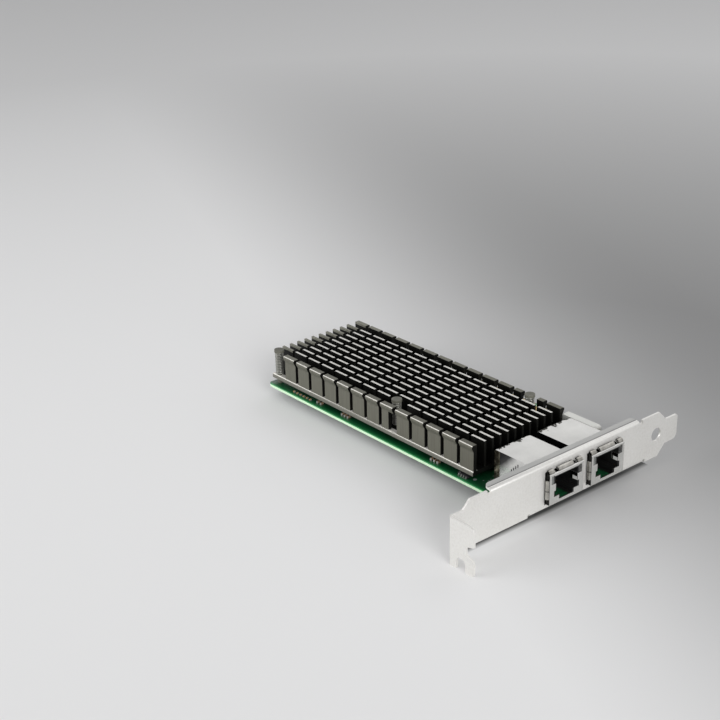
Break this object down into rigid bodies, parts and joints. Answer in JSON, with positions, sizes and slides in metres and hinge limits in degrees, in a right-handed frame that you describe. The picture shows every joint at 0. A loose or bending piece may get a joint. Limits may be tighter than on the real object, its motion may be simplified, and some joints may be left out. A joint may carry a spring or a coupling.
{
  "type": "network interface card",
  "caption": "Low-profile network card with RJ45 ports, full-length dark pin-fin heatsink, folded bracket and edge connector.",
  "frame": {"origin": "middle of the connector's key slot on the card's edge, halfway through the board's thickness", "axes": "+X along the card out through the bracket and its ports, +Y into the host's slot, +Z out of the component side"},
  "size_m": [0.1635, 0.12, 0.0219],
  "materials": {
    "bracket_steel": "bright nickel plated sheet, faint grain",
    "screw_steel": "zinc plated",
    "board_green": "green solder mask over glass-epoxy, pale green cut edge",
    "contact_gold": "hard gold plating",
    "heatsink_dark": "dark anodised extrusion with fine drawn lines",
    "pin_plastic": "olive-grey nylon",
    "spring_steel": "bare spring wire",
    "chip_package": "moulded black epoxy",
    "pad_grey": "soft filled silicone",
    "shield_metal": "nickel plated sheet",
    "jack_plastic": "black moulded nylon",
    "light_pipe": "clear to milky acrylic",
    "magnetics_plastic": "black potting",
    "tinned_metal": "tin plated wire",
    "can_metal": "satin light metal",
    "resistor_body": "small gold-coloured chips with tinned ends",
    "ceramic_body": "tan ceramic with tinned ends",
    "ferrite": "pressed ferrite",
    "crystal_can": "nickel plated lid"
  },
  "bodies": {
    "root": {"bracket": "bracket_steel", "bracket_screws": "screw_steel", "board": "board_green", "edge_contacts_component_side": "contact_gold", "edge_contacts_solder_side": "contact_gold", "heatsink": "heatsink_dark", "push_pins": "pin_plastic", "pin_springs": "spring_steel", "controller_chip": "chip_package", "regulators": "chip_package", "thermal_pads": "pad_grey", "jack_shield_near": "shield_metal", "jack_shield_far": "shield_metal", "jack_housing_near": "jack_plastic", "jack_housing_far": "jack_plastic", "plug_contacts_near": "contact_gold", "plug_contacts_far": "contact_gold", "light_pipes_near": "light_pipe", "light_pipes_far": "light_pipe", "magnetics_near": "magnetics_plastic", "magnetics_far": "magnetics_plastic", "solder_tails_near": "tinned_metal", "solder_tails_far": "tinned_metal", "filter_can": "can_metal", "resistors": "resistor_body", "capacitors": "ceramic_body", "coupling_capacitors": "ceramic_body", "decoupling_capacitors": "ceramic_body", "power_inductors": "ferrite", "flash_chip": "chip_package", "clock_crystal": "crystal_can", "buffer_chip": "chip_package"}
  },
  "joints": []
}
